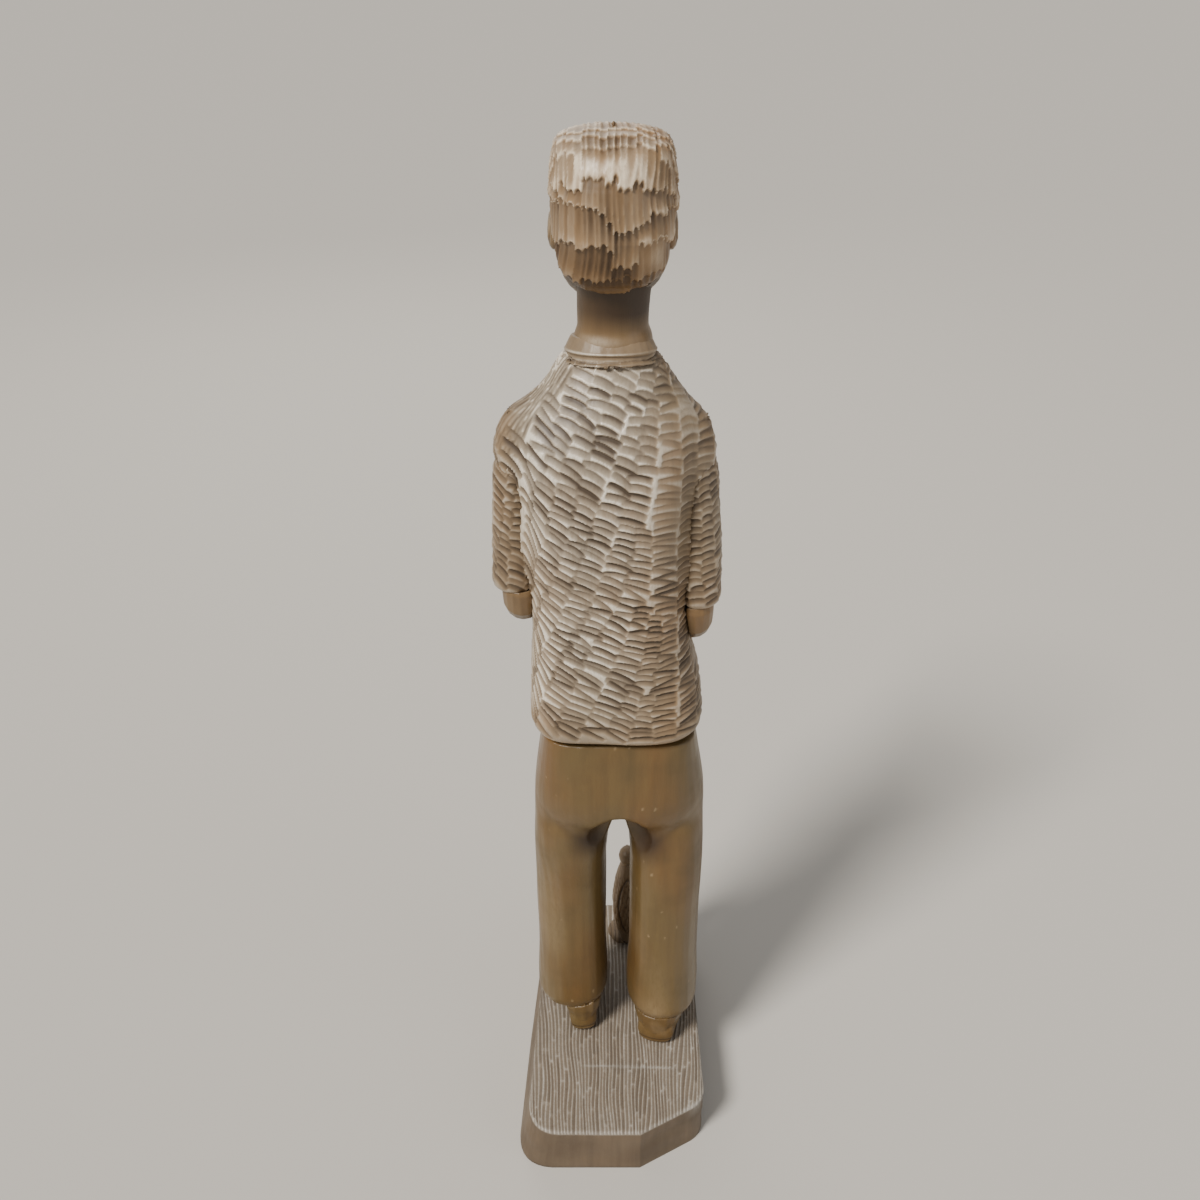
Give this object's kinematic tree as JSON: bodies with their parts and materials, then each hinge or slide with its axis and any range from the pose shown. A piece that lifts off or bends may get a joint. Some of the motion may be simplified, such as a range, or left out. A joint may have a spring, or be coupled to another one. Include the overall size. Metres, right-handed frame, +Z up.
{
  "type": "carved wooden figurine",
  "caption": "Carved wooden standing figure in a chiselled pullover and plain trousers, hands folded at the waist, on a thick grooved block with a small bird at its feet.",
  "frame": {"origin": "centre of the flat underside of the base block", "axes": "+Z up, through the figure to the top of the hair; the figure faces -Y and +X is its left"},
  "size_m": [0.0923, 0.144, 0.4568],
  "materials": {
    "base_wood": "matt, tool-marked",
    "trouser_wood": "satin wax",
    "sweater_wood": "satin wax over carved texture",
    "skin_wood": "satin wax",
    "hair_wood": "satin wax over carved texture",
    "bird_wood": "satin wax"
  },
  "bodies": {
    "root": {"base_block": "base_wood", "left_shoe": "trouser_wood", "right_shoe": "trouser_wood", "left_trouser_leg": "trouser_wood", "right_trouser_leg": "trouser_wood", "trouser_seat": "trouser_wood", "sweater_body": "sweater_wood", "sweater_collar": "sweater_wood", "left_sleeve": "sweater_wood", "right_sleeve": "sweater_wood", "left_forearm": "skin_wood", "right_forearm": "skin_wood", "left_hand": "skin_wood", "right_hand": "skin_wood", "neck": "skin_wood", "head": "skin_wood", "hair": "hair_wood", "left_ear": "skin_wood", "right_ear": "skin_wood", "bird_perch": "base_wood", "bird": "bird_wood"}
  },
  "joints": []
}
